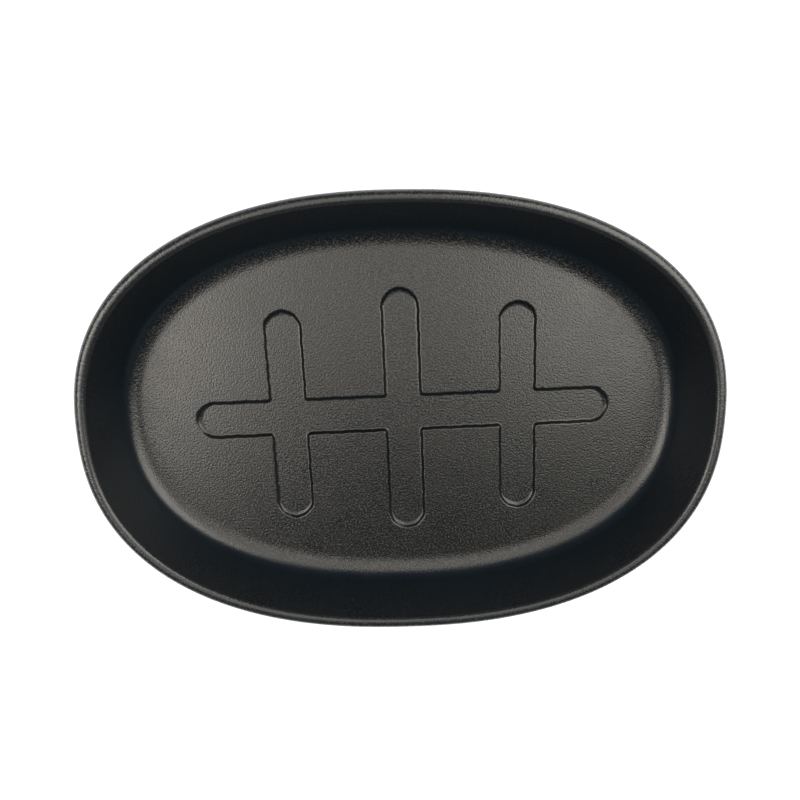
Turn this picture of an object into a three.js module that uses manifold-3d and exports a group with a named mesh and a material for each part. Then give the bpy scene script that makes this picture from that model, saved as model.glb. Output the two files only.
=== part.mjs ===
// Oval sizzling plate: one iron casting with a flared wall, a rounded rim and channels sunk in its floor.
// Millimetres, +Z up. X runs along the plate, Y across it, and the origin is the middle of the base.

import * as THREE from "three";
import { LoftGeometry } from "three/addons/geometries/LoftGeometry.js";
import { mergeVertices, toCreasedNormals } from "three/addons/utils/BufferGeometryUtils.js";
import Module from "manifold-3d";

// Ovals of the rim and of the flat floor
const LENGTH = 260; // over the rim, along X
const WIDTH = 180; // over the rim, along Y
const HEIGHT = 31; // from the base to the top of the rim
const END_RUN = 17.8; // how far the wall reaches in from the rim to the flat floor, at the two ends
const SIDE_RUN = 20.9; // the same at the two long sides
const RIM_SQUARENESS = 2.31; // exponent of the rim's superellipse: 2 is an ellipse, more is squarer
const FLOOR_SQUARENESS = 2.25; // the same for the edge of the flat floor

// Thickness and roundings of the casting
const RIM_WIDTH = 5.2;
const FLOOR = 4; // floor, beside the channels
const FLOOR_FILLET = 9; // inside, where the wall sweeps out into the floor
const RIM_OUTER_RADIUS = 3;
const RIM_INNER_RADIUS = 2.2;

// Channels sunk in the floor: a long one, crossed by a middle one and two outer ones
const CHANNEL_WIDTH = 16.6;
const CHANNEL_DEPTH = 1.5;
const CHANNEL_SIDE_RUN = 1.8; // how far a channel's sides reach in from its lip to its flat bottom
const LONG_END_RUN = 2; // the same at the ends of the long channel
const CROSS_END_RUN = 3.2; // the same at the ends of the crossing channels, which slope more gently
const CHANNEL_FILLET = 0.8; // along the foot of that slope
const CROSS_SPACING = 50.25; // between the middles of the crossing channels
const LONG_END_GAP = 21.4; // between the long channel's ends and the edge of the floor
const MIDDLE_END_GAP = 14.75; // the same for the middle crossing channel
const OUTER_END_GAP = 16.9; // the same for the outer crossing channels

// Fineness of the facets
const OVAL_POINTS = 112; // a multiple of 4, so that every oval has points on both axes
const ARC_STEPS = 3; // pairs of facets in each rounding
const CHANNEL_END_STEPS = 6; // pairs of facets round each end of a channel
const CREASE_ANGLE = THREE.MathUtils.degToRad(30); // sharper edges than this are shaded as edges
const CUT_OVERRUN = 1; // how far a cutting shape stands above what it cuts

const MEAN_RUN = (END_RUN + SIDE_RUN) / 2;
const FLOOR_HALF_LENGTH = LENGTH / 2 - END_RUN;
const FLOOR_HALF_WIDTH = WIDTH / 2 - SIDE_RUN;

const blackIron = new THREE.MeshStandardMaterial({
  name: "black_iron",
  color: 0x232426,
  roughness: 0.55,
  metalness: 0.3,
});

const wasm = await Module();
wasm.setup();

// A superellipse about the origin: |x / halfLength| ^ squareness + |y / halfWidth| ^ squareness = 1.
class Oval extends THREE.Curve {
  constructor(halfLength, halfWidth, squareness) {
    super();
    this.halfLength = halfLength;
    this.halfWidth = halfWidth;
    this.squareness = squareness;
  }

  getPoint(t, target = new THREE.Vector3()) {
    const angle = 2 * Math.PI * t;
    const stretch = (share) => Math.sign(share) * Math.abs(share) ** (2 / this.squareness);
    return target.set(
      this.halfLength * stretch(Math.cos(angle)),
      this.halfWidth * stretch(Math.sin(angle)),
      0,
    );
  }

  halfWidthAt(x) {
    const share = 1 - Math.abs(x / this.halfLength) ** this.squareness;
    return this.halfWidth * share ** (1 / this.squareness);
  }
}

// Section through a wall, from its foot up to its lip: a foot arc, a straight side that is tangent to both
// arcs, and a lip arc that ends level. x is the distance in from the rim. bend is 1 where the lip turns the
// way the foot does, as on the outside of the casting, and -1 where it turns the other way, as in a hollow.
function wallSection(foot, lip, bend) {
  const dx = lip.x - foot.x;
  const dz = lip.z - foot.z;
  const lean = Math.acos((foot.radius - bend * lip.radius) / Math.hypot(dx, dz));
  const side = Math.atan2(dz, dx) + lean;
  const lipStart = bend > 0 ? side : side - Math.PI;
  const path = new THREE.Path();
  path.absarc(foot.x, foot.z, foot.radius, 1.5 * Math.PI, side, true);
  path.absarc(lip.x, lip.z, lip.radius, lipStart, Math.PI / 2, bend > 0);
  return path.getPoints(ARC_STEPS);
}

// Oval at a distance x in from the rim's outside. Over the rim's width it keeps that distance all round, and
// from there it changes steadily into the floor's oval, which lies END_RUN and SIDE_RUN in.
function ovalRing(x, z) {
  const inset = Math.min(x, RIM_WIDTH);
  const share = Math.max(0, (x - RIM_WIDTH) / (MEAN_RUN - RIM_WIDTH));
  const oval = new Oval(
    THREE.MathUtils.lerp(LENGTH / 2 - inset, FLOOR_HALF_LENGTH, share),
    THREE.MathUtils.lerp(WIDTH / 2 - inset, FLOOR_HALF_WIDTH, share),
    THREE.MathUtils.lerp(RIM_SQUARENESS, FLOOR_SQUARENESS, share),
  );
  const points = oval.getSpacedPoints(OVAL_POINTS);
  points.pop(); // the last point repeats the first
  return points.map((point) => point.setZ(z));
}

// Outline of a channel with round ends, moved in by sideInset at its sides and in proportion at its ends.
function channelRing(length, endRun, sideInset, z) {
  const endInset = (sideInset * endRun) / CHANNEL_SIDE_RUN;
  const endRadius = CHANNEL_WIDTH / 2 - endInset;
  const halfWidth = CHANNEL_WIDTH / 2 - sideInset;
  const endCentre = (length - CHANNEL_WIDTH) / 2;
  const path = new THREE.Path();
  path.absellipse(endCentre, 0, endRadius, halfWidth, -Math.PI / 2, Math.PI / 2);
  path.absellipse(-endCentre, 0, endRadius, halfWidth, Math.PI / 2, 1.5 * Math.PI);
  return path.getPoints(CHANNEL_END_STEPS).map(({ x, y }) => new THREE.Vector3(x, y, z));
}

function loft(rings) {
  return new LoftGeometry(rings, { capStart: true, capEnd: true });
}

function solidOf(geometry) {
  const bare = new THREE.BufferGeometry();
  bare.setAttribute("position", geometry.attributes.position);
  bare.setIndex(geometry.index);
  const merged = mergeVertices(bare);
  return new wasm.Manifold(
    new wasm.Mesh({
      numProp: 3,
      vertProperties: new Float32Array(merged.attributes.position.array),
      triVerts: new Uint32Array(merged.index.array),
    }),
  );
}

function geometryOf(solid) {
  const { vertProperties, triVerts } = solid.getMesh();
  const geometry = new THREE.BufferGeometry();
  geometry.setAttribute("position", new THREE.BufferAttribute(vertProperties, 3));
  geometry.setIndex(new THREE.BufferAttribute(triVerts, 1));
  return toCreasedNormals(geometry, CREASE_ANGLE);
}

// The casting before it is hollowed: a heel that keeps the floor's thickness round the floor fillet, the outer
// wall and the rounded outside of the rim.
function outsideOfCasting() {
  const heel = Math.min(FLOOR + FLOOR_FILLET, MEAN_RUN);
  const rim = Math.min(RIM_OUTER_RADIUS, RIM_WIDTH - RIM_INNER_RADIUS);
  const section = wallSection(
    { x: MEAN_RUN, z: heel, radius: heel },
    { x: rim, z: HEIGHT - rim, radius: rim },
    1,
  );
  return loft(section.map(({ x, y }) => ovalRing(x, y)));
}

// The hollow of the dish: the flat floor, its fillet, the inner wall and the eased inner edge of the rim.
function hollowOfDish() {
  const fillet = Math.min(FLOOR_FILLET, MEAN_RUN - RIM_WIDTH);
  const section = wallSection(
    { x: MEAN_RUN, z: FLOOR + fillet, radius: fillet },
    { x: RIM_WIDTH - RIM_INNER_RADIUS, z: HEIGHT - RIM_INNER_RADIUS, radius: RIM_INNER_RADIUS },
    -1,
  );
  const mouth = section.at(-1);
  section.push(new THREE.Vector2(mouth.x, HEIGHT + CUT_OVERRUN));
  return loft(section.map(({ x, y }) => ovalRing(x, y)));
}

// A channel along X, to be cut out of the floor: flat bottom, filleted foot, sloping sides and round ends.
function channel(length, endRun) {
  const fillet = Math.min(CHANNEL_FILLET, CHANNEL_SIDE_RUN, CHANNEL_DEPTH);
  const section = wallSection(
    { x: CHANNEL_SIDE_RUN, z: FLOOR - CHANNEL_DEPTH + fillet, radius: fillet },
    { x: 0, z: FLOOR, radius: 0 },
    -1,
  );
  section.push(new THREE.Vector2(0, FLOOR + CUT_OVERRUN));
  return loft(section.map(({ x, y }) => channelRing(length, endRun, x, y)));
}

function crossChannel(x, endGap) {
  const floor = new Oval(FLOOR_HALF_LENGTH, FLOOR_HALF_WIDTH, FLOOR_SQUARENESS);
  const length = 2 * (floor.halfWidthAt(x) - endGap);
  return channel(length, CROSS_END_RUN).rotateZ(Math.PI / 2).translate(x, 0, 0);
}

function plateCasting() {
  const channels = [
    channel(2 * (FLOOR_HALF_LENGTH - LONG_END_GAP), LONG_END_RUN),
    crossChannel(-CROSS_SPACING, OUTER_END_GAP),
    crossChannel(0, MIDDLE_END_GAP),
    crossChannel(CROSS_SPACING, OUTER_END_GAP),
  ];
  const dish = solidOf(outsideOfCasting()).subtract(solidOf(hollowOfDish()));
  const casting = channels.reduce((solid, cut) => solid.subtract(solidOf(cut)), dish);
  const mesh = new THREE.Mesh(geometryOf(casting), blackIron);
  mesh.name = "plate_casting";
  return mesh;
}

const sizzlingPlate = new THREE.Group();
sizzlingPlate.name = "sizzling_plate";
sizzlingPlate.add(plateCasting());

export default sizzlingPlate;
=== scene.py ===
from math import pi, radians

import bpy
import numpy as np
from mathutils import Matrix, Vector
from mathutils.geometry import delaunay_2d_cdt


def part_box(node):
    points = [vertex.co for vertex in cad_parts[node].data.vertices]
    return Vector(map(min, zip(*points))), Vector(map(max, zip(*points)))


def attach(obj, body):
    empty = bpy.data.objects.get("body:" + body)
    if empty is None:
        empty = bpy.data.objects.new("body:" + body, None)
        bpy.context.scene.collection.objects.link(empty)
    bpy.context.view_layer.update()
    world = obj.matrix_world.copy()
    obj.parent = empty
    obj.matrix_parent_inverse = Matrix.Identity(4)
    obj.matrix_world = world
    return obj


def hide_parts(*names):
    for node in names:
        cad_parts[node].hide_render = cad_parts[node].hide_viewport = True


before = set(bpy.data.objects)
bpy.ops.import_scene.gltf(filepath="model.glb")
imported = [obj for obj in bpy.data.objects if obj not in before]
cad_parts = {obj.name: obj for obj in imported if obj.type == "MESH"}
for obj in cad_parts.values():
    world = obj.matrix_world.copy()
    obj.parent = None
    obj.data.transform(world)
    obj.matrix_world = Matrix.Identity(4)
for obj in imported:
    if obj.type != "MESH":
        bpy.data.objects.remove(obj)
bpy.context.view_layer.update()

MM = 0.001

# Sizes of the casting, as in the frame
_, casting_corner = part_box("plate_casting")
HALF_LENGTH, HALF_WIDTH, HEIGHT = casting_corner
END_RUN = 17.8 * MM
SIDE_RUN = 20.9 * MM
RIM_SQUARENESS = 2.31
FLOOR_SQUARENESS = 2.25
RIM_WIDTH = 5.2 * MM
FLOOR = 4 * MM
FLOOR_FILLET = 9 * MM
RIM_OUTER_RADIUS = 3 * MM
RIM_INNER_RADIUS = 2.2 * MM
MEAN_RUN = (END_RUN + SIDE_RUN) / 2
FLOOR_HALF_LENGTH = HALF_LENGTH - END_RUN
FLOOR_HALF_WIDTH = HALF_WIDTH - SIDE_RUN

# Channels sunk in the floor
CHANNEL_HALF_WIDTH = 8.3 * MM
CHANNEL_DEPTH = 1.5 * MM
CHANNEL_LEAN = radians(50)
CHANNEL_LIP_RADIUS = 0.7 * MM
CHANNEL_FOOT_RADIUS = 1.25 * MM
CHANNEL_CORNER_RADIUS = 0.55 * MM
LONG_END_STRETCH = 2.4
CROSS_END_STRETCH = 2.1
LONG_CHANNEL_REACH = 90.8 * MM
MIDDLE_CHANNEL_REACH = 54.35 * MM
OUTER_CHANNEL_REACH = 46.9 * MM
CROSS_SPACING = 50.25 * MM
CHANNEL_SHIFT = (0.4 * MM, -1.05 * MM)
CHANNEL_TURN = radians(1.35)
CHANNEL_WANDER = 0.09 * MM
CROSS_CHANNELS = (
    (CROSS_SPACING, OUTER_CHANNEL_REACH),
    (0.0, MIDDLE_CHANNEL_REACH),
    (-CROSS_SPACING, OUTER_CHANNEL_REACH),
)

# Strength of the sand grain beside that of the floor, and the heights between which it changes
WALL_GRAIN = 0.06
RIM_GRAIN = 0.4
CHANNEL_SIDE_GRAIN = 0.6
OUTSIDE_GRAIN = 0.7
WALL_GRAIN_FADE = (FLOOR + 0.4 * MM, FLOOR + 3.6 * MM)
RIM_GRAIN_RISE = (HEIGHT - 4 * MM, HEIGHT - 1 * MM)

# Wear on the edges, which also paints a highlight on the rim and the channels' lips, and painted shade on
# the channels' slopes between two shares of their depth
RIM_WEAR_AND_HIGHLIGHT_RISE = (HEIGHT - 3 * MM, HEIGHT)
CHANNEL_LIP_WEAR_AND_HIGHLIGHT = 0.3
PAINTED_SHADE_BELOW_LIP = (0.02, 0.2)
PAINTED_SHADE_ABOVE_FOOT = (0.02, 0.3)

# Fineness of the mesh
AROUND = np.linspace(0, 2 * pi, 480, endpoint=False)
WALL_ARC_STEPS = 14
BASE_RINGS = np.array([0.25, 0.5, 0.75, 0.99])
CHANNEL_END_STEPS = 12
CHANNEL_CORNER_STEPS = 6
CHANNEL_LIP_STEPS = 6
CHANNEL_FOOT_STEPS = 10
CHANNEL_STRAIGHT_STEPS = 23
FLOOR_BORDER = 0.5 * MM
CHANNEL_BORDER = 0.15 * MM
FLOOR_GRID = 3 * MM
FILL_TOLERANCE = 1e-7

# Noise in the iron, in features per metre, and the depth of its grain
SAND_SCALE = 1250
STAIN_SCALE = 18
OIL_SCALE = 70
GRAIN_DEPTH = 0.16 * MM

# Colours
WHITE = (1, 1, 1, 1)
DARK_SAND = (0.003, 0.003, 0.003, 1)
PALE_SAND = (0.042, 0.042, 0.041, 1)
BROWN_STAIN = (0.007, 0.0062, 0.0048, 1)
# bluish wall colour: near black iron with painted blue room light, lighter and bluer than the iron itself
WALL_BLACK_WITH_PAINTED_BLUE_LIGHT = (0.0038, 0.008, 0.0128, 1)
# painted shade: near black laid on the channels' slopes, where they face away from the lamps
PAINTED_SHADE_BLACK = (0.0008, 0.0008, 0.0007, 1)
# lighter rubbed iron: real wear on the edges, and partly a painted highlight on the rim and the channels'
# lips
RUBBED_IRON_AND_HIGHLIGHT = (0.02, 0.02, 0.02, 1)
IRON_SHEEN = (0.6, 0.8, 1, 1)
TABLE_PAINT = (0.84, 0.88, 0.95, 1)
ROOM_LOW = (0.06, 0.085, 0.11, 1)
ROOM_HIGH = (0.045, 0.07, 0.09, 1)
ROOM_FAR_SIDE = (0.006, 0.008, 0.011, 1)
ROOM_LIGHT = (0.045, 0.06, 0.075, 1)

# Studio, in metres
TABLE_HALF = 20
LAMP_HEIGHT = 0.7
BRIGHT_PLACE = (0.25, 0.2, 0)


def arc(centre, radius, start, end, steps):
    """Points on a circle about centre, at even angles from start to end, in degrees. Two radii give an
    ellipse."""
    angle = np.radians(np.linspace(start, end, steps + 1))
    return centre + radius * np.stack([np.cos(angle), np.sin(angle)], axis=-1)


def oval(half_length, half_width, squareness, angle):
    """Superellipse: a unit circle's points pushed out until |x|^n + |y|^n = 1, then stretched to size."""
    x, y = np.cos(angle), np.sin(angle)
    push = (np.abs(x) ** squareness + np.abs(y) ** squareness) ** (-1 / squareness)
    return half_length * x * push, half_width * y * push


def wall_section(foot, foot_radius, lip, lip_radius, bend):
    """Section through a wall: a foot arc that starts level, a straight side that is tangent to both
    arcs, and a lip arc that ends level. bend is 1 where both arcs turn the same way, and -1 where not."""
    reach = np.subtract(lip, foot)
    lean = np.arccos((foot_radius - bend * lip_radius) / np.hypot(*reach))
    side = np.degrees(np.arctan2(reach[1], reach[0]) + lean)
    lip_start = side if bend > 0 else side - 180
    return np.concatenate([
        arc(foot, foot_radius, 270, side, WALL_ARC_STEPS),
        arc(lip, lip_radius, lip_start, 90, WALL_ARC_STEPS),
    ])


def dish_rings(section):
    """Carries a section round the dish. Its first number is the distance in from the rim: over the rim's
    width that distance is the same all round, and from there the ring changes steadily into the floor's
    oval."""
    distance, height = section[:, :1], section[:, 1:]
    inset = np.minimum(distance, RIM_WIDTH)
    share = np.maximum(0, (distance - RIM_WIDTH) / (MEAN_RUN - RIM_WIDTH))
    x, y = oval(
        (HALF_LENGTH - inset) * (1 - share) + FLOOR_HALF_LENGTH * share,
        (HALF_WIDTH - inset) * (1 - share) + FLOOR_HALF_WIDTH * share,
        RIM_SQUARENESS * (1 - share) + FLOOR_SQUARENESS * share,
        AROUND,
    )
    return np.stack([x, y, np.broadcast_to(height, x.shape)], axis=-1)


def casting_rings():
    """The whole skin of the dish as rings: base, heel, outer wall, rim, inner wall, fillet, edge of the
    floor. The outer and the inner section meet at the top of the rim, and that ring is kept once."""
    foot = (MEAN_RUN, FLOOR + FLOOR_FILLET)
    outside = wall_section(
        foot, FLOOR + FLOOR_FILLET,
        (RIM_OUTER_RADIUS, HEIGHT - RIM_OUTER_RADIUS), RIM_OUTER_RADIUS, 1,
    )
    inside = wall_section(
        foot, FLOOR_FILLET,
        (RIM_WIDTH - RIM_INNER_RADIUS, HEIGHT - RIM_INNER_RADIUS), RIM_INNER_RADIUS, -1,
    )
    floor_border = [[MEAN_RUN + FLOOR_BORDER, FLOOR]]
    base = dish_rings(outside[:1]) * BASE_RINGS.reshape(-1, 1, 1)
    hollow = np.concatenate([floor_border, inside[:-1]])[::-1]
    return np.concatenate([base, dish_rings(outside), dish_rings(hollow)]), len(hollow)


def channel_outline(inset, foot):
    """Outline of the crossed channels, drawn in by inset. The half above the long channel's middle is a
    run of arcs joined by straights, and the other half is the same, turned half round. foot is the part
    of the inset that lies in the foot of the slope, which is stretched at the channels' ends."""
    half = CHANNEL_HALF_WIDTH - inset
    long_end_radii = np.array([half - (LONG_END_STRETCH - 1) * foot, half])
    cross_end_radii = np.array([half, half - (CROSS_END_STRETCH - 1) * foot])
    corner = CHANNEL_CORNER_RADIUS + inset
    corner_out = CHANNEL_HALF_WIDTH + CHANNEL_CORNER_RADIUS
    long_end = LONG_CHANNEL_REACH - CHANNEL_HALF_WIDTH
    arcs = [arc((long_end, 0), long_end_radii, 0, 90, CHANNEL_END_STEPS)]
    for x, reach in CROSS_CHANNELS:
        end = (x, reach - CHANNEL_HALF_WIDTH)
        arcs.append(arc((x + corner_out, corner_out), corner, 270, 180, CHANNEL_CORNER_STEPS))
        arcs.append(arc(end, cross_end_radii, 0, 180, 2 * CHANNEL_END_STEPS))
        arcs.append(arc((x - corner_out, corner_out), corner, 0, -90, CHANNEL_CORNER_STEPS))
    arcs.append(arc((-long_end, 0), long_end_radii, 90, 180, CHANNEL_END_STEPS)[:-1])
    share = np.linspace(0, 1, CHANNEL_STRAIGHT_STEPS + 1)[1:-1, None]
    path = [arcs[0]]
    for before, after in zip(arcs, arcs[1:]):
        path.append(before[-1] * (1 - share) + after[0] * share)
        path.append(after)
    path = np.concatenate(path)
    return np.concatenate([path, -path])


def wander(points):
    """Small drift of a line drawn by hand: two slow waves across each direction, of unlike lengths."""
    x, y = points[..., 0] / MM, points[..., 1] / MM
    drift_x = np.sin(0.55 * y + 0.31 * x) + np.sin(1.23 * y - 0.47 * x + 1)
    drift_y = np.sin(0.49 * x + 0.23 * y + 2) + np.sin(1.31 * x + 0.37 * y)
    return CHANNEL_WANDER * np.stack([drift_x, drift_y], axis=-1)


def channel_rings():
    """The channels' side, carried round their outline: a rounded lip, a straight slope and a filleted
    foot. The outlines then drift a little and are turned and moved to where they lie in this casting."""
    cos, sin = np.cos(CHANNEL_LEAN), np.sin(CHANNEL_LEAN)
    lean = np.degrees(CHANNEL_LEAN)
    rounded = (CHANNEL_LIP_RADIUS + CHANNEL_FOOT_RADIUS) * (1 - cos)
    run = (CHANNEL_DEPTH - rounded) * cos / sin
    lip_centre = (-CHANNEL_LIP_RADIUS * np.tan(CHANNEL_LEAN / 2), FLOOR - CHANNEL_LIP_RADIUS)
    lip = arc(lip_centre, CHANNEL_LIP_RADIUS, 90, 90 - lean, CHANNEL_LIP_STEPS)
    foot_start = lip[-1] + (run, -run * sin / cos)
    foot_centre = foot_start + (CHANNEL_FOOT_RADIUS * sin, CHANNEL_FOOT_RADIUS * cos)
    foot = arc(foot_centre, CHANNEL_FOOT_RADIUS, 270 - lean, 270, CHANNEL_FOOT_STEPS)
    border = np.array([CHANNEL_BORDER, 0])
    side = np.concatenate([lip[:1] - border, lip, foot, foot[-1:] + border])
    in_foot = np.maximum(0, side[:, 0] - foot_start[0])
    outlines = np.stack([channel_outline(*insets) for insets in zip(side[:, 0], in_foot)])
    turn_cos, turn_sin = np.cos(CHANNEL_TURN), np.sin(CHANNEL_TURN)
    turn = np.array([[turn_cos, turn_sin], [-turn_sin, turn_cos]])
    outlines = (outlines + wander(outlines)) @ turn + CHANNEL_SHIFT
    height = np.broadcast_to(side[:, 1].reshape(-1, 1, 1), outlines.shape[:2] + (1,))
    return np.concatenate([outlines, height], axis=-1), len(lip)


def ramp(value, low, high):
    """0 up to low, 1 from high on, and a smooth S between them."""
    share = np.clip((value - low) / (high - low), 0, 1)
    return share * share * (3 - 2 * share)


def ring_faces(rings, first):
    """Quads between each ring of a grid and the next, closed round the ring."""
    rows, columns = rings.shape[:2]
    index = first + np.arange(rows * columns).reshape(rows, columns)
    turned = np.roll(index, -1, axis=1)
    return np.stack([index[:-1], turned[:-1], turned[1:], index[1:]], axis=-1).reshape(-1, 4)


def inside_loop(points, loop):
    """Even-odd rule: a point is inside where a line from it towards +X crosses the loop an odd number of
    times."""
    ax, ay = loop.T
    bx, by = np.roll(loop, -1, axis=0).T
    x, y = points[:, :1], points[:, 1:]
    spans = (ay > y) != (by > y)
    crossing = ax + (y - ay) * (bx - ax) / np.where(by == ay, 1, by - ay)
    return (spans & (x < crossing)).sum(axis=1) % 2 == 1


def flat_fill(loops, inner):
    """Triangles of a flat area bounded by loops, with a triangular grid of points inside it. inner says
    for an array of points which are in the area. Returns the added points and the triangles."""
    bound = np.concatenate(loops)
    x, y = np.meshgrid(
        np.arange(-FLOOR_HALF_LENGTH, FLOOR_HALF_LENGTH, FLOOR_GRID),
        np.arange(-FLOOR_HALF_WIDTH, FLOOR_HALF_WIDTH, FLOOR_GRID * np.sqrt(0.75)),
    )
    x[::2] += FLOOR_GRID / 2
    added = np.stack([x.ravel(), y.ravel()], axis=-1)
    gap = np.min(np.hypot(*(added[:, None] - bound[None]).transpose(2, 0, 1)), axis=1)
    added = added[inner(added) & (gap > FLOOR_GRID / 2)]
    points = np.concatenate([bound, added])
    edges, first = [], 0
    for loop in loops:
        index = first + np.arange(len(loop))
        edges.append(np.stack([index, np.roll(index, -1)], axis=-1))
        first += len(loop)
    result = delaunay_2d_cdt(
        [Vector(p) for p in points], np.concatenate(edges).tolist(), [], 0, FILL_TOLERANCE,
    )
    source = np.array([ids[0] for ids in result[3]])
    triangles = source[np.array(result[2])]
    return added, triangles[inner(points[triangles].mean(axis=1))]


def surface_values(dish, hollow_rings, channels, lip_rings, flat_points):
    """Sand grain, wear with a painted highlight, and painted shade at each point of the skin, in the order
    of
    the points: the dish, the middle of the base, the channels' sides and the flat areas."""
    height = dish[:, :, 2]
    dish_grain = np.full_like(height, OUTSIDE_GRAIN)
    up_the_wall = ramp(height[-hollow_rings:], *WALL_GRAIN_FADE)
    dish_grain[-hollow_rings:] = 1 - (1 - WALL_GRAIN) * up_the_wall
    dish_grain = np.maximum(dish_grain, RIM_GRAIN * ramp(height, *RIM_GRAIN_RISE))
    # wear at the top of the rim, which also paints a highlight there
    rim_wear_and_highlight = ramp(height, *RIM_WEAR_AND_HIGHLIGHT_RISE)
    channel_grain = np.ones(channels.shape[:2])
    channel_grain[2:-2] = CHANNEL_SIDE_GRAIN
    channel_wear_and_highlight = np.zeros(channels.shape[:2])
    # wear on the channels' lips, which also paints a highlight there
    channel_wear_and_highlight[1:1 + lip_rings] = CHANNEL_LIP_WEAR_AND_HIGHLIGHT
    # painted shade on the channels' slopes, fading out at the lip and at the foot
    depth = (channels[0, 0, 2] - channels[:, :, 2]) / CHANNEL_DEPTH
    channel_painted_shade = ramp(depth, *PAINTED_SHADE_BELOW_LIP) * ramp(1 - depth, *PAINTED_SHADE_ABOVE_FOOT)
    flat = np.zeros(flat_points)
    values = {
        "grain": [dish_grain.ravel(), [OUTSIDE_GRAIN], channel_grain.ravel(), flat + 1],
        "wear_and_highlight": [rim_wear_and_highlight.ravel(), [0], channel_wear_and_highlight.ravel(), flat],
        "painted_shade": [np.zeros(height.size), [0], channel_painted_shade.ravel(), flat],
    }
    return {name: np.concatenate(parts) for name, parts in values.items()}


def plate_casting():
    """The casting's closed skin: the dish's rings, a point in the middle of the base, the channels' sides,
    the flat floor round the channels and the flat bottoms in them."""
    dish, hollow_rings = casting_rings()
    channels, lip_rings = channel_rings()
    middle = dish[:1].mean(axis=1)
    lip, foot = channels[0, :, :2], channels[-1, :, :2]
    edge = dish[-1, :, :2]
    floor_points, floor_faces = flat_fill(
        [edge, lip], lambda p: inside_loop(p, edge) & ~inside_loop(p, lip),
    )
    bottom_points, bottom_faces = flat_fill([foot], lambda p: inside_loop(p, foot))
    blocks = [
        dish.reshape(-1, 3),
        middle,
        channels.reshape(-1, 3),
        np.column_stack([floor_points, np.full(len(floor_points), dish[-1, 0, 2])]),
        np.column_stack([bottom_points, np.full(len(bottom_points), channels[-1, 0, 2])]),
    ]
    start = np.cumsum([0] + [len(block) for block in blocks])
    dish_index = np.arange(start[1]).reshape(dish.shape[:2])
    channel_index = start[2] + np.arange(channels[..., 0].size).reshape(channels.shape[:2])
    floor_index = np.concatenate([dish_index[-1], channel_index[0], np.arange(start[3], start[4])])
    bottom_index = np.concatenate([channel_index[-1], np.arange(start[4], start[5])])
    first_ring = dish_index[0]
    hub = np.full_like(first_ring, start[1])
    fan = np.stack([hub, np.roll(first_ring, -1), first_ring], axis=-1)
    quads = np.concatenate([ring_faces(dish, 0), ring_faces(channels, start[2])])
    triangles = np.concatenate([fan, floor_index[floor_faces], bottom_index[bottom_faces]])
    mesh = bpy.data.meshes.new("plate_casting_skin")
    mesh.from_pydata(np.concatenate(blocks).tolist(), [], quads.tolist() + triangles.tolist())
    mesh.polygons.foreach_set("use_smooth", np.ones(len(mesh.polygons), dtype=bool))
    flat_points = len(floor_points) + len(bottom_points)
    surface = surface_values(dish, hollow_rings, channels, lip_rings, flat_points)
    for name, values in surface.items():
        mesh.attributes.new(name, "FLOAT", "POINT").data.foreach_set("value", values)
    mesh.update()
    piece = bpy.data.objects.new("plate_casting_skin", mesh)
    bpy.context.scene.collection.objects.link(piece)
    return piece


def feed(tree, socket, value):
    """Links a node's output to the socket, or sets the socket to a plain value."""
    if isinstance(value, bpy.types.NodeSocket):
        tree.links.new(value, socket)
    else:
        socket.default_value = value


def noise(tree, vector, scale, detail, roughness):
    """Fractal noise from 0 to 1. scale is in features per metre."""
    node = tree.nodes.new("ShaderNodeTexNoise")
    feed(tree, node.inputs["Vector"], vector)
    node.inputs["Scale"].default_value = scale
    node.inputs["Detail"].default_value = detail
    node.inputs["Roughness"].default_value = roughness
    return node.outputs["Fac"]


def remap(tree, value, low, high, new_low, new_high):
    """Carries the range low to high over to new_low to new_high, and holds the ends."""
    node = tree.nodes.new("ShaderNodeMapRange")
    for socket, number in zip(node.inputs, (value, low, high, new_low, new_high)):
        feed(tree, socket, number)
    return node.outputs["Result"]


def compute(tree, operation, *values):
    """One Math node."""
    node = tree.nodes.new("ShaderNodeMath")
    node.operation = operation
    for socket, value in zip(node.inputs, values):
        feed(tree, socket, value)
    return node.outputs["Value"]


def blend(tree, share, first, second):
    """Colour between first and second."""
    node = tree.nodes.new("ShaderNodeMix")
    node.data_type = "RGBA"
    feed(tree, node.inputs["Factor"], share)
    feed(tree, node.inputs["A"], first)
    feed(tree, node.inputs["B"], second)
    return node.outputs["Result"]


def attribute(tree, name):
    """A value that the mesh carries at its points."""
    node = tree.nodes.new("ShaderNodeAttribute")
    node.attribute_name = name
    return node.outputs["Fac"]


def seen_directly(tree):
    """1 for rays from the camera, from reflections and through glass, and 0 for rays that only bring
    light."""
    rays = tree.nodes.new("ShaderNodeLightPath")
    direct = compute(tree, "MAXIMUM", rays.outputs["Is Camera Ray"], rays.outputs["Is Glossy Ray"])
    return compute(tree, "MAXIMUM", direct, rays.outputs["Is Transmission Ray"])


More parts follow.
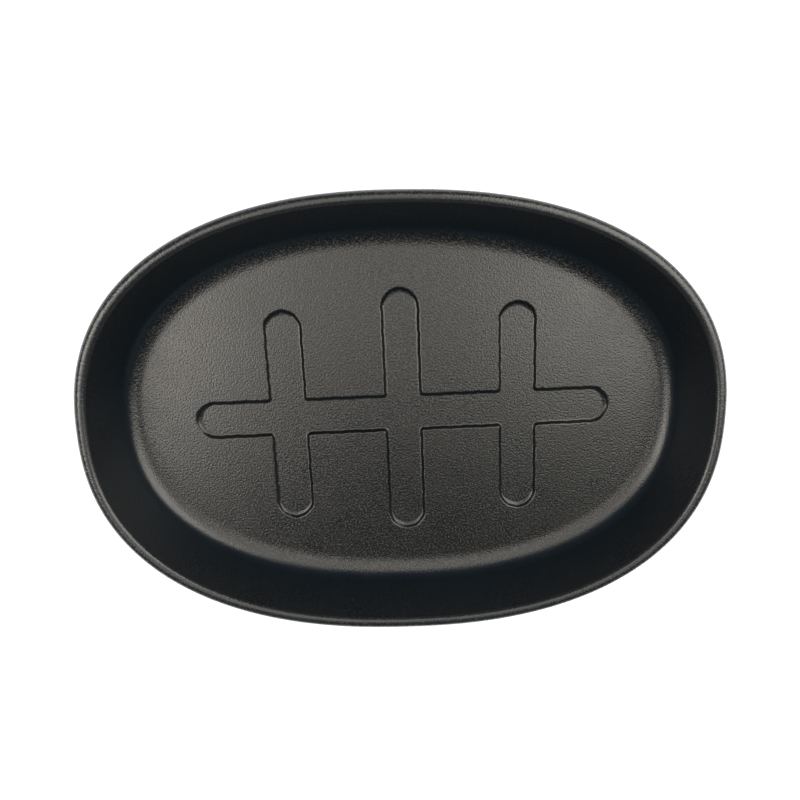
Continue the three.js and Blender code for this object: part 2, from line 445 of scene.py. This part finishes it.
def black_iron():
    """Seasoned cast iron: near black and satin, with a sand grain that is strong on the floor and faint up
    the wall, a bluish wall colour that is painted blue room light, pale specks and brown stains on the
    floor, painted shade on the channels' slopes, patches of oil that shine more, and edges rubbed a
    little lighter, which also paints a highlight on the rim and the channels' lips."""
    material = bpy.data.materials.new("seasoned_iron")
    material.use_nodes = True
    tree = material.node_tree
    shader = tree.nodes["Principled BSDF"]
    shader.inputs["IOR"].default_value = 1.62
    shader.inputs["Sheen Weight"].default_value = 0.012
    shader.inputs["Sheen Roughness"].default_value = 0.5
    shader.inputs["Sheen Tint"].default_value = IRON_SHEEN
    place = tree.nodes.new("ShaderNodeTexCoord").outputs["Object"]
    grain, wear_and_highlight, painted_shade = [attribute(tree, name) for name in ("grain", "wear_and_highlight", "painted_shade")]

    sand = noise(tree, place, SAND_SCALE, 1, 0.5)
    bump = tree.nodes.new("ShaderNodeBump")
    bump.inputs["Strength"].default_value = 1
    bump.inputs["Distance"].default_value = GRAIN_DEPTH
    feed(tree, bump.inputs["Height"], compute(tree, "MULTIPLY", sand, grain))
    feed(tree, shader.inputs["Normal"], bump.outputs["Normal"])

    speckle = remap(tree, sand, 0.46, 0.78, 0, 1)
    stain = remap(tree, noise(tree, place, STAIN_SCALE, 3, 0.6), 0.45, 0.7, 0, 0.7)
    stained = blend(tree, stain, blend(tree, speckle, DARK_SAND, PALE_SAND), BROWN_STAIN)
    # painted shade: the channels' slopes are blackened where they face away from the lamps
    # where the grain fades up the wall, the colour turns to the bluish wall colour, which is painted blue
    # room light
    with_painted_shade = blend(tree, painted_shade, blend(tree, grain, WALL_BLACK_WITH_PAINTED_BLUE_LIGHT, stained), PAINTED_SHADE_BLACK)
    # edges rubbed lighter: real wear, and partly a painted highlight on the rim and the channels' lips
    rubbed_and_highlit = blend(tree, compute(tree, "MULTIPLY", wear_and_highlight, 0.5), with_painted_shade, RUBBED_IRON_AND_HIGHLIGHT)
    feed(tree, shader.inputs["Base Color"], rubbed_and_highlit)

    oil = remap(tree, noise(tree, place, OIL_SCALE, 2, 0.5), 0.3, 0.7, 0.26, 0.32)
    dull = compute(tree, "MULTIPLY", compute(tree, "MULTIPLY", speckle, grain), 0.2)
    shine = compute(tree, "MULTIPLY_ADD", wear_and_highlight, -0.02, oil)
    feed(tree, shader.inputs["Roughness"], compute(tree, "ADD", shine, dull))
    return material


def pale_table():
    """Pale matt table: lit near the plate, so that it keeps the plate's soft shadow, and plain white far
    from the place that the lamps light most."""
    material = bpy.data.materials.new("pale_table")
    material.use_nodes = True
    tree = material.node_tree
    shader = tree.nodes["Principled BSDF"]
    shader.inputs["Base Color"].default_value = TABLE_PAINT
    shader.inputs["Roughness"].default_value = 0.9
    shader.inputs["Specular IOR Level"].default_value = 0
    shader.inputs["Emission Color"].default_value = WHITE
    distance = tree.nodes.new("ShaderNodeVectorMath")
    distance.operation = "DISTANCE"
    feed(tree, distance.inputs[0], tree.nodes.new("ShaderNodeTexCoord").outputs["Object"])
    distance.inputs[1].default_value = BRIGHT_PLACE
    lift = remap(tree, distance.outputs["Value"], 0.4, 1.3, 0.25, 1)
    glow = compute(tree, "MULTIPLY", lift, seen_directly(tree))
    feed(tree, shader.inputs["Emission Strength"], glow)
    return material


def table_top():
    """A flat square under the plate, wide enough to reach the horizon."""
    mesh = bpy.data.meshes.new("table_top")
    corners = TABLE_HALF * np.array([(-1, -1, 0), (1, -1, 0), (1, 1, 0), (-1, 1, 0)])
    mesh.from_pydata(corners.tolist(), [], [(0, 1, 2, 3)])
    mesh.materials.append(pale_table())
    table = bpy.data.objects.new("table_top", mesh)
    bpy.context.scene.collection.objects.link(table)


def softbox(name, place, size, radiance, colour):
    """Rectangular lamp that faces straight down. Its power is radiance times pi times its area."""
    data = bpy.data.lights.new(name, "AREA")
    data.shape = "RECTANGLE"
    data.size, data.size_y = size
    data.energy = radiance * pi * size[0] * size[1]
    data.color = colour
    lamp = bpy.data.objects.new(name, data)
    lamp.location = (*place, LAMP_HEIGHT)
    bpy.context.scene.collection.objects.link(lamp)


def studio_light():
    """Softboxes overhead: a strong one on the left, a wide one on the right, a soft one between them and a
    narrow one beyond it, which lights the near fillet."""
    softbox("left_softbox", (-0.61, -0.02), (0.6, 0.53), 5.6, (1.0, 0.94, 0.86))
    softbox("middle_softbox", (-0.19, 0.08), (0.46, 0.46), 1.72, (1.0, 0.95, 0.87))
    softbox("far_softbox", (-0.08, 0.43), (0.6, 0.18), 2.4, (1.0, 0.95, 0.87))
    softbox("right_softbox", (0.74, 0.29), (1.14, 0.89), 4.0, (1.0, 0.965, 0.88))


def studio_room():
    """A dim bluish room, darkest at its far side, with a white backdrop: the camera sees white all round,
    and a reflection sees the white only low down, where the backdrop stands."""
    world = bpy.data.worlds.new("studio_room")
    world.use_nodes = True
    tree = world.node_tree
    background = tree.nodes["Background"]
    background.inputs["Strength"].default_value = 1
    direction = tree.nodes.new("ShaderNodeSeparateXYZ")
    feed(tree, direction.inputs[0], tree.nodes.new("ShaderNodeTexCoord").outputs["Generated"])
    rise = direction.outputs["Z"]
    dim = blend(tree, remap(tree, rise, 0.09, 0.57, 0, 1), ROOM_LOW, ROOM_HIGH)
    far_side = remap(tree, direction.outputs["Y"], 0.3, 0.95, 0, 0.7)
    darkened = blend(tree, far_side, dim, ROOM_FAR_SIDE)
    reflected = blend(tree, remap(tree, rise, 0.02, 0.09, 0, 1), WHITE, darkened)
    lit = blend(tree, seen_directly(tree), ROOM_LIGHT, reflected)
    to_camera = tree.nodes.new("ShaderNodeLightPath").outputs["Is Camera Ray"]
    feed(tree, background.inputs["Color"], blend(tree, to_camera, lit, WHITE))
    bpy.context.scene.world = world


def photo_camera():
    """Camera above the plate, leaning from its far side, with the far side at the top of the picture."""
    place = Vector((-7.5, 63.5, 269.8)) * MM
    aim = Vector((-1.15, 4.7, 4)) * MM
    roll = radians(-0.86)
    back = (place - aim).normalized()
    right = Vector((0, 1, 0)).cross(back).normalized()
    up = back.cross(right)
    turn = Matrix((right, up, back)).transposed().to_4x4()
    data = bpy.data.cameras.new("photo_camera")
    data.lens = 28
    data.sensor_width = 36
    data.clip_start = 0.01
    camera = bpy.data.objects.new("photo_camera", data)
    camera.matrix_world = Matrix.Translation(place) @ turn @ Matrix.Rotation(roll, 4, "Z")
    bpy.context.scene.collection.objects.link(camera)
    bpy.context.scene.camera = camera


photo_camera()
plate = plate_casting()
plate.data.materials.append(black_iron())
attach(plate, "root")
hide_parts("plate_casting")
table_top()
studio_light()
studio_room()
bpy.context.scene.view_settings.view_transform = "Standard"
